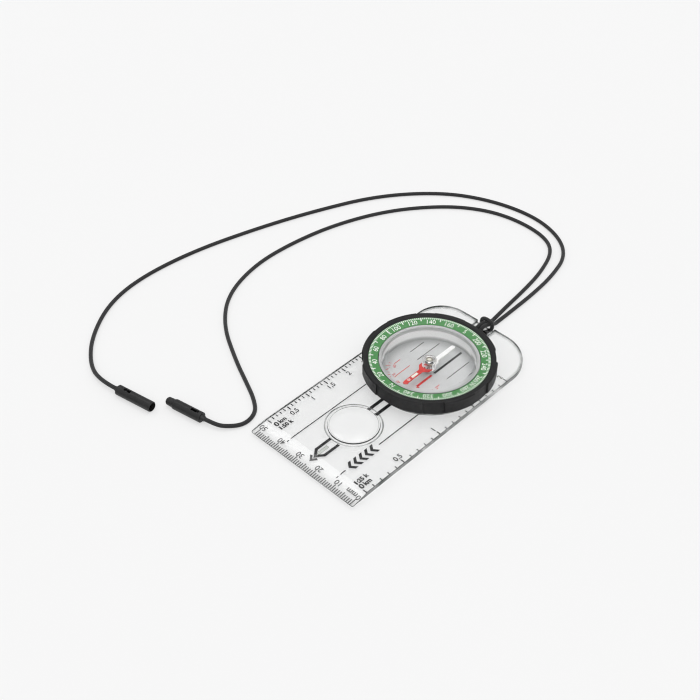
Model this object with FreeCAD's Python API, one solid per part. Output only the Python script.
import FreeCAD, Part
import math
import os

# Baseplate compass, millimetres. +Z up, +Y the direction of travel, +X to the user's right.
# The origin is the centre of the plate's outline, on the surface the compass lies on.

# Baseplate: clear acrylic, bevelled front ruler edge, round rear corners of two sizes
PLATE_W = 53.4
PLATE_L = 108.6
PLATE_Z0 = 0.8
PLATE_Z1 = 3.0
REAR_R_RIGHT = 13.0
REAR_R_LEFT = 17.0
FRONT_R = 0.6
BEVEL_L = 7.8
BEVEL_Z = 1.5
LENS_Y = 26.0
LENS_R = 9.7
LENS_RIM_Z = 3.4
LENS_TOP_Z = 4.2
LENS_BEAD = [(9.2, 2.6), (10.15, 2.6), (10.15, 3.15), (9.95, 3.55), (9.5, 3.55), (9.2, 3.3)]
HALO_R = 11.1
HALO_DEPTH = 0.18
EDGE_R = 0.45
BOND = 0.05
LUM_BAR = (1.1, 5.2, 0.4)
LUM_BAR_Y = 42.6

# Lanyard slot and the thinned bar behind it
SLOT_X = 1.0
SLOT_HALF = 4.6
SLOT_Y0 = -50.2
SLOT_Y1 = -46.0
BAR_Y = -52.8
BAR_Z0 = 1.95

# Housing: turns in the plate about this axis
HOUSING_Y = -16.9
OPENING_R = 20.2
COUNTERBORE_R = 21.4
LEDGE_Z = 1.9
RIM_R = 23.8
CAPSULE_R = 20.13
CAPSULE_R_IN = 18.9
FLANGE_R = 21.2
CAPSULE_Z0 = 0.3
FLOOR_Z = 1.5
FLANGE_Z = 1.6
WALL_Z = 8.4
BOSS_R = 1.6
BOSS_Z = 2.3
PLUG_R = 0.9
PLUG_Z = 5.0

# Capsule lid: flat rim and a low dome
LID_R = 20.05
LID_RIM_Z = 9.1
DOME_R = 17.8
DOME_TOP = 10.15
LID_T = 1.0

# Bezel: hollow ring with eight grip flutes, and the dial it carries
BEZEL_R = 26.9
BEZEL_Z0 = 3.7
BEZEL_Z1 = 10.2
FLUTES = 8
FLUTE_DEG = 17.0
FLUTE_DEPTH = 0.65
COLLAR_R = 21.5
COLLAR_Z = 3.4
WEB_Z0 = 7.6
WEB_Z1 = 8.3
SHELL_R = 24.15
LIP_SLOPE = (1.0, 0.5)
DIAL_R0 = 20.3
DIAL_R1 = 24.1
DIAL_Z0 = 9.1
DIAL_Z1 = 9.6
WASHER_R = 23.4
WASHER_Z0 = 3.05

# Needle, turning on a steel point
NEEDLE_L = 15.1
NEEDLE_W = 1.8
BLADE_Z0 = 4.95
BLADE_Z1 = 5.3
HUB_R = 2.85
HUB_Z0 = 4.3
HUB_Z1 = 8.4
MAGNET_R0 = 1.5
MAGNET_Z0 = 3.5
BUSH_R = 1.35
BUSH_Z0 = 6.2
BUSH_Z1 = 7.8
JEWEL_R = 0.85
JEWEL_Z0 = 6.5
JEWEL_Z1 = 7.7
CUP_R = 0.45
CUP_DEPTH = 0.55
POST_R = 0.4
POST_Z0 = 1.0
POST_SHOULDER = 6.3
POST_TIP = 7.0
TILE = (1.1, 3.3, 0.1)
TILE_Y = 8.5

# Lanyard cord and its two connector halves
CORD_D = 1.7
CORD_R = CORD_D / 2.0
CONN_R = 2.15
CONN_L = 18.8
NECK_L = 1.4
NECK_R = 1.5
SOCKET_R = 1.75
SOCKET_DEPTH = 7.0
CHAMBER_R = 1.45
WINDOW_SOCKET = (4.7, 8.0)
WINDOW_PLUG = (2.9, 6.6)
WINDOW_HALF = 0.6
CHAMBER_LEAD = 1.0
TIP_R = 1.65
TIP_L = 4.2
STOP_L = 2.4

# Both strands lie on the surface and rise to the middle of their connector
OUTER = [(0.1, -60.8, 0.85), (0.3, -70.5, 0.85), (0.8, -86, 0.85), (2.3, -101, 0.85), (6.5, -117, 0.85),
         (17.9, -127.1, 0.85), (36, -131.8, 0.85), (59, -127.8, 0.85), (80.1, -116.4, 0.85),
         (100.1, -93.1, 0.85), (112.9, -63, 0.85), (121.8, -36, 0.85), (129.7, -4.5, 0.85), (131.8, 24, 0.85),
         (127.4, 45, 0.85), (115.2, 63.1, 0.85), (101.9, 73.8, 0.85), (90.2, 77.3, 2.15), (81.9, 75.8, 2.15)]
INNER = [(2.3, -60.8, 0.85), (3.5, -70, 0.85), (5.1, -85, 0.85), (7.5, -100.1, 0.85), (12.9, -115.8, 0.85),
         (22.9, -122.6, 0.85), (40.1, -123.8, 0.85), (56.2, -119.6, 0.85), (72, -108.5, 0.85),
         (87.9, -88, 0.85), (98, -62.7, 0.85), (102.2, -38, 0.85), (102.2, -16.1, 0.85), (95.3, 5.6, 0.85),
         (81.3, 20.5, 0.85), (61.5, 31.3, 0.85), (47.9, 37.4, 0.85), (39.3, 41.4, 0.85), (33.1, 46.1, 0.85),
         (31.6, 53.4, 0.85), (36, 59.8, 1.5), (39.8, 61.9, 2.15), (43.7, 62.6, 2.15)]

# Girth hitch, from the outer strand over the bar, through the slot, under the bar, across the
# top of both strands as a collar, and back the same way to the inner strand
HITCH_HALF = [(-0.9, -52.9, 4.1), (-0.9, -49.1, 4.1), (-1.2, -49.1, 0.95), (-2.75, -54.5, 0.95)]
COLLAR_TOP = 5.2
LANDING = 2.0


def vec(x, y, z=0.0):
    return FreeCAD.Vector(x, y, z)


def cylinder(r, z0, z1, x=0.0, y=0.0):
    return Part.makeCylinder(r, z1 - z0, vec(x, y, z0))


def box(x0, x1, y0, y1, z0, z1):
    return Part.makeBox(x1 - x0, y1 - y0, z1 - z0, vec(x0, y0, z0))


def prism(edges, z0, z1):
    face = Part.Face(Part.Wire(Part.__sortEdges__(edges)))
    face.translate(vec(0, 0, z0))
    return face.extrude(vec(0, 0, z1 - z0))


def lines(points):
    return [Part.makeLine(vec(*a), vec(*b)) for a, b in zip(points, points[1:])]


def turned(profile):
    """Solid of revolution about Z from a closed outline of (radius, z) points."""
    pts = [vec(r, 0, z) for r, z in profile]
    face = Part.Face(Part.makePolygon(pts + pts[:1]))
    return face.revolve(vec(0, 0, 0), vec(0, 0, 1), 360)


def at_housing(shape):
    shape.translate(vec(0, HOUSING_Y, 0))
    return shape


def dome(rim_r, rim_z, top_z, base_z):
    """Spherical cap through a rim circle and an apex, standing on a flat base."""
    rise = top_z - rim_z
    sphere_r = (rim_r ** 2 + rise ** 2) / (2.0 * rise)
    ball = Part.makeSphere(sphere_r, vec(0, 0, top_z - sphere_r))
    return ball.common(cylinder(rim_r, base_z, top_z + 1.0))


def rounded_route(points, label):
    """Straight runs joined by tangent arcs, as one wire; the smallest bend radius is printed."""
    pts = [vec(*p) for p in points]
    edges = []
    start = pts[0]
    radii = []
    for before, here, after in zip(pts, pts[1:], pts[2:]):
        back = before - here
        ahead = after - here
        shorter = min(back.Length, ahead.Length)
        half_turn = (math.pi - back.getAngle(ahead)) / 2.0
        radius = 0.45 * shorter / math.tan(half_turn)
        radii.append(radius)
        u = back.normalize()
        v = ahead.normalize()
        tangent_in = here + u * (0.45 * shorter)
        tangent_out = here + v * (0.45 * shorter)
        inward = (u + v).normalize()
        mid = here + inward * (radius / math.cos(half_turn) - radius)
        edges.append(Part.LineSegment(start, tangent_in).toShape())
        edges.append(Part.Arc(tangent_in, mid, tangent_out).toShape())
        start = tangent_out
    edges.append(Part.LineSegment(start, pts[-1]).toShape())
    wire = Part.Wire(edges)
    print("%s: length %.1f mm, smallest bend radius %.2f mm" % (label, wire.Length, min(radii)))
    return wire


def tube(points, radius, label):
    wire = rounded_route(points, label)
    first = vec(*points[0])
    heading = vec(*points[1]) - first
    ring = Part.Wire(Part.Circle(first, heading, radius).toShape())
    solid = wire.makePipeShell([ring], True, False)
    swept = wire.Length * math.pi * radius ** 2
    print("%s: volume %.2f, section x length %.2f" % (label, solid.Volume, swept))
    return solid


def plate_outline():
    x = PLATE_W / 2.0
    y = PLATE_L / 2.0
    right = REAR_R_RIGHT
    left = REAR_R_LEFT
    edges = lines([(x - right, -y), (left - x, -y)])
    edges += lines([(-x, left - y), (-x, y - FRONT_R)])
    edges += lines([(FRONT_R - x, y), (x - FRONT_R, y)])
    edges += lines([(x, y - FRONT_R), (x, right - y)])
    for cx, cy, r, a0 in ((x - right, right - y, right, 270), (left - x, left - y, left, 180),
                          (FRONT_R - x, y - FRONT_R, FRONT_R, 90), (x - FRONT_R, y - FRONT_R, FRONT_R, 0)):
        edges.append(Part.makeCircle(r, vec(cx, cy), vec(0, 0, 1), a0, a0 + 90))
    return edges


def bevel_cut():
    y1 = PLATE_L / 2.0
    profile = [vec(0, y1 - BEVEL_L, PLATE_Z1), vec(0, y1 + 1, PLATE_Z1), vec(0, y1 + 1, BEVEL_Z),
               vec(0, y1, BEVEL_Z)]
    face = Part.Face(Part.makePolygon(profile + profile[:1]))
    face.translate(vec(-PLATE_W, 0, 0))
    return face.extrude(vec(2 * PLATE_W, 0, 0))


def rounded_blank():
    """The plate's outline as a slab, with its upper and lower edges rounded."""
    slab = prism(plate_outline(), PLATE_Z0, PLATE_Z1)
    level = [e for e in slab.Edges if e.BoundBox.ZLength < 1e-6]
    return slab.makeFillet(EDGE_R, level)


def halo_groove():
    """A shallow ring round the lens, left by the mould insert."""
    ring = turned([(HALO_R - 0.3, PLATE_Z1 + 0.01), (HALO_R, PLATE_Z1 - HALO_DEPTH),
                   (HALO_R + 0.3, PLATE_Z1 + 0.01)])
    ring.translate(vec(0, LENS_Y, 0))
    return ring


def slot_cut():
    """Round-ended slot, the recess behind its bar and the pocket under the bar."""
    r = (SLOT_Y1 - SLOT_Y0) / 2.0
    cy = (SLOT_Y1 + SLOT_Y0) / 2.0
    x0 = SLOT_X - SLOT_HALF
    x1 = SLOT_X + SLOT_HALF
    slot = box(x0 + r, x1 - r, SLOT_Y0, SLOT_Y1, 0, 5)
    slot = slot.fuse([cylinder(r, 0, 5, x, cy) for x in (x0 + r, x1 - r)])
    recess = box(x0, x1, -60, BAR_Y, 0, 5)
    pocket = box(x0, x1, -60, cy, 0, BAR_Z0)
    return slot.fuse([recess, pocket])


def make_baseplate():
    plate = rounded_blank().cut([bevel_cut(), halo_groove()])
    lens = dome(LENS_R, LENS_RIM_Z, LENS_TOP_Z, PLATE_Z1 - 0.5).fuse(turned(LENS_BEAD))
    lens.translate(vec(0, LENS_Y, 0))
    rim = at_housing(cylinder(RIM_R, 0, PLATE_Z0 + 0.5))
    opening = at_housing(cylinder(OPENING_R, -1, 5).fuse(cylinder(COUNTERBORE_R, -1, LEDGE_Z)))
    return plate.fuse([lens, rim]).cut(opening.fuse([slot_cut(), luminous_bar(BOND)])).removeSplitter()


def luminous_bar(gap=0.0):
    """The glowing insert under the arrow, or its pocket, which is larger by a bond line."""
    w, length, depth = LUM_BAR
    x = w / 2 + gap
    y = length / 2 + gap
    return box(-x, x, LUM_BAR_Y - y, LUM_BAR_Y + y, PLATE_Z0, PLATE_Z0 + depth + gap)


def capsule_shell():
    wall = turned([(0, CAPSULE_Z0), (FLANGE_R, CAPSULE_Z0), (FLANGE_R, FLANGE_Z), (CAPSULE_R, FLANGE_Z),
                   (CAPSULE_R, WALL_Z), (CAPSULE_R_IN, WALL_Z), (CAPSULE_R_IN, FLOOR_Z), (0, FLOOR_Z)])
    return wall.fuse(cylinder(BOSS_R, FLOOR_Z - 0.2, BOSS_Z))


def plug_rod():
    return Part.makeCylinder(PLUG_R, 5, vec(-17, 0, PLUG_Z), vec(-1, 0, 0))


def make_capsule():
    return at_housing(capsule_shell().cut(plug_rod().fuse(cylinder(POST_R, POST_Z0, BOSS_Z + 1))))


def make_filler_plug():
    return at_housing(capsule_shell().common(plug_rod()))


def make_lid():
    rim = cylinder(LID_R, WALL_Z + BOND, LID_RIM_Z)
    cap = dome(DOME_R, LID_RIM_Z, DOME_TOP, LID_RIM_Z - 0.3)
    hollow = dome(DOME_R - 0.5, WALL_Z, DOME_TOP - LID_T, WALL_Z - 0.2)
    return at_housing(rim.fuse(cap).cut(hollow).removeSplitter())


def around(r, angle):
    return r * math.cos(angle), r * math.sin(angle)


def bezel_outline(z0, z1):
    """Round prism with straight-sided grip flutes cut into its edge."""
    ring = cylinder(BEZEL_R, z0, z1)
    half = math.radians(FLUTE_DEG / 2.0)
    inner = BEZEL_R - FLUTE_DEPTH
    outer = BEZEL_R + 2.0
    flutes = []
    for k in range(FLUTES):
        mid = 2 * math.pi * k / FLUTES
        near = [around(inner, mid + s * half) for s in (-1, 1)]
        far = [around(outer, mid + s * half * 1.12) for s in (1, -1)]
        arc = Part.Arc(vec(*near[0]), vec(*around(inner, mid)), vec(*near[1])).toShape()
        flutes.append(prism([arc] + lines([near[1], far[0], far[1], near[0]]), z0 - 1, z1 + 1))
    return ring.cut(flutes)


def make_bezel():
    width, drop = LIP_SLOPE
    skin = turned([(COLLAR_R, COLLAR_Z), (COLLAR_R, WEB_Z0), (SHELL_R, WEB_Z0), (SHELL_R, BEZEL_Z0),
                   (25.6, BEZEL_Z0), (BEZEL_R, BEZEL_Z0 + 1.1), (BEZEL_R, BEZEL_Z1 - 0.45),
                   (BEZEL_R - 0.45, BEZEL_Z1), (DIAL_R1 + width, BEZEL_Z1), (DIAL_R1, BEZEL_Z1 - drop),
                   (DIAL_R1, WEB_Z1), (CAPSULE_R, WEB_Z1), (CAPSULE_R, COLLAR_Z)])
    return at_housing(skin.common(bezel_outline(COLLAR_Z - 1, BEZEL_Z1 + 1)))


def make_dial():
    return at_housing(turned([(DIAL_R0, WEB_Z1), (DIAL_R1, WEB_Z1), (DIAL_R1, DIAL_Z1), (DIAL_R0, DIAL_Z0)]))


def make_washer():
    ring = cylinder(WASHER_R, WASHER_Z0, COLLAR_Z).cut(cylinder(CAPSULE_R, WASHER_Z0 - 1, COLLAR_Z + 1))
    return at_housing(ring)


def make_post():
    return at_housing(turned([(0, POST_Z0), (POST_R, POST_Z0), (POST_R, POST_SHOULDER), (0.06, POST_TIP),
                              (0, POST_TIP)]))


def make_jewel():
    return at_housing(turned([(0, JEWEL_Z0 + CUP_DEPTH), (CUP_R, JEWEL_Z0), (JEWEL_R, JEWEL_Z0),
                              (JEWEL_R, JEWEL_Z1), (0, JEWEL_Z1)]))


def make_bush():
    return at_housing(turned([(JEWEL_R, BUSH_Z0), (BUSH_R, BUSH_Z0), (BUSH_R, BUSH_Z1), (JEWEL_R, BUSH_Z1)]))


def make_magnet():
    top = HUB_Z0 - BOND
    return at_housing(turned([(MAGNET_R0, MAGNET_Z0), (HUB_R - 0.2, MAGNET_Z0), (HUB_R - 0.2, top),
                              (MAGNET_R0, top)]))


def make_hub():
    bore = BUSH_R + BOND
    roof = BUSH_Z1 + BOND
    body = turned([(bore, HUB_Z0), (HUB_R, HUB_Z0), (HUB_R, HUB_Z1 - 0.5), (HUB_R - 0.7, HUB_Z1),
                   (0.9, HUB_Z1), (0, HUB_Z1 - 0.1), (0, roof), (bore, roof)])
    return at_housing(body)


def blade(points):
    edges = lines(points + points[:1])
    return at_housing(prism(edges, BLADE_Z0, BLADE_Z1).cut(cylinder(HUB_R + BOND, 0, 10)))


def make_north():
    w = NEEDLE_W / 2.0
    return blade([(-w, NEEDLE_L - 0.6), (0, NEEDLE_L), (w, NEEDLE_L - 0.6), (w, 4.9), (2.75, 2.9), (2.75, 1.2),
                  (-2.75, 1.2), (-2.75, 2.9), (-w, 4.9)])


def make_south():
    w = NEEDLE_W / 2.0
    tail = prism([Part.makeCircle(w, vec(0, w - NEEDLE_L), vec(0, 0, 1))], BLADE_Z0, BLADE_Z1)
    stem = box(-w, w, w - NEEDLE_L, -2.5, BLADE_Z0, BLADE_Z1)
    fork = [(w, -4.2), (2.0, -3.3), (2.0, -2.2), (-2.0, -2.2), (-2.0, -3.3), (-w, -4.2), (w, -4.2)]
    root = prism(lines(fork), BLADE_Z0, BLADE_Z1)
    return at_housing(tail.fuse([stem, root]).cut(cylinder(HUB_R + BOND, 0, 10)).removeSplitter())


def make_tile():
    w, length, t = TILE
    return at_housing(box(-w / 2, w / 2, TILE_Y - length / 2, TILE_Y + length / 2, BLADE_Z1, BLADE_Z1 + t))


def landing(points):
    """Where the hitch reaches the surface, in line with a strand's first run."""
    first = vec(*points[0])
    return tuple(first + (first - vec(*points[1])).normalize() * LANDING)


def hitch_route():
    """The outer strand's half is mirrored about the slot's centre line for the inner strand."""
    left = [(SLOT_X + x, y, z) for x, y, z in HITCH_HALF]
    right = [(SLOT_X - x, y, z) for x, y, z in reversed(HITCH_HALF)]
    collar = [(left[-1][0], left[-1][1] - 0.1, COLLAR_TOP), (right[0][0], right[0][1] - 0.1, COLLAR_TOP)]
    return [OUTER[0], landing(OUTER)] + left + collar + right + [landing(INNER), INNER[0]]


def place_on_cord(shape, points):
    """Move a piece made along +X so that it starts at the cord's end and points onward."""
    end = vec(*points[-1])
    heading = end - vec(*points[-2])
    shape.Placement = FreeCAD.Placement(end, FreeCAD.Rotation(vec(1, 0, 0), heading))
    return shape


def along_x(r, x0, x1):
    return Part.makeCylinder(r, x1 - x0, vec(x0, 0, 0), vec(1, 0, 0))


def turned_x(profile):
    """Solid of revolution about X from a closed outline of (x, radius) points."""
    pts = [vec(x, r, 0) for x, r in profile]
    face = Part.Face(Part.makePolygon(pts + pts[:1]))
    return face.revolve(vec(0, 0, 0), vec(1, 0, 0), 360)


def stop_room(window):
    """The chamber that holds the cord's stop, open to the top through the window."""
    x0, x1 = window
    slot = box(x0, x1, -WINDOW_HALF, WINDOW_HALF, 0, 5)
    return along_x(CHAMBER_R, x0 - CHAMBER_LEAD, x1 + 0.8).fuse(slot)


def shell_profile():
    """The flared neck round the cord and the square shoulder of the sleeve."""
    return [(0, 0), (0, 1.0), (0.5, 1.15), (NECK_L, NECK_R), (NECK_L, CONN_R - 0.15), (NECK_L + 0.15, CONN_R)]


def make_socket_half():
    shell = turned_x(shell_profile() + [(CONN_L - 0.3, CONN_R), (CONN_L, CONN_R - 0.25), (CONN_L, 0)])
    bore = along_x(SOCKET_R, CONN_L - SOCKET_DEPTH, CONN_L + 1)
    return place_on_cord(shell.cut([bore, stop_room(WINDOW_SOCKET)]), OUTER)


def make_plug_half():
    tip0 = CONN_L - TIP_L
    shell = turned_x(shell_profile() + [(tip0, CONN_R), (tip0 + 0.9, TIP_R + 0.15), (CONN_L - 0.7, TIP_R),
                                        (CONN_L - 0.2, TIP_R - 0.35), (CONN_L, TIP_R - 0.9), (CONN_L, 0)])
    return place_on_cord(shell.cut(stop_room(WINDOW_PLUG)), INNER)


def make_stop(window, points):
    start = window[0] - CHAMBER_LEAD
    return place_on_cord(along_x(CHAMBER_R, start, start + STOP_L), points)


def main():
    parts = {
        "baseplate": make_baseplate(),
        "arrow_luminous_bar": luminous_bar(),
        "bezel_grip_ring": make_bezel(),
        "dial_ring": make_dial(),
        "capsule_body": make_capsule(),
        "capsule_lid": make_lid(),
        "capsule_filler_plug": make_filler_plug(),
        "friction_washer": make_washer(),
        "pivot_post": make_post(),
        "needle_north_half": make_north(),
        "needle_south_half": make_south(),
        "needle_luminous_patch": make_tile(),
        "needle_hub_cap": make_hub(),
        "needle_hub_bush": make_bush(),
        "needle_jewel_bearing": make_jewel(),
        "needle_magnet": make_magnet(),
        "lanyard_hitch": tube(hitch_route(), CORD_R, "hitch"),
        "lanyard_strand_outer": tube(OUTER, CORD_R, "outer strand"),
        "lanyard_strand_inner": tube(INNER, CORD_R, "inner strand"),
        "connector_socket_half": make_socket_half(),
        "connector_plug_half": make_plug_half(),
        "cord_stop_socket": make_stop(WINDOW_SOCKET, OUTER),
        "cord_stop_plug": make_stop(WINDOW_PLUG, INNER),
    }
    os.makedirs("parts", exist_ok=True)
    for name, shape in parts.items():
        shape.exportStep("parts/%s.step" % name)
        kinds = "%d solid(s), %s" % (len(shape.Solids), "valid" if shape.isValid() else "INVALID")
        print("%-24s %s, %.1f mm3" % (name, kinds, shape.Volume))


main()
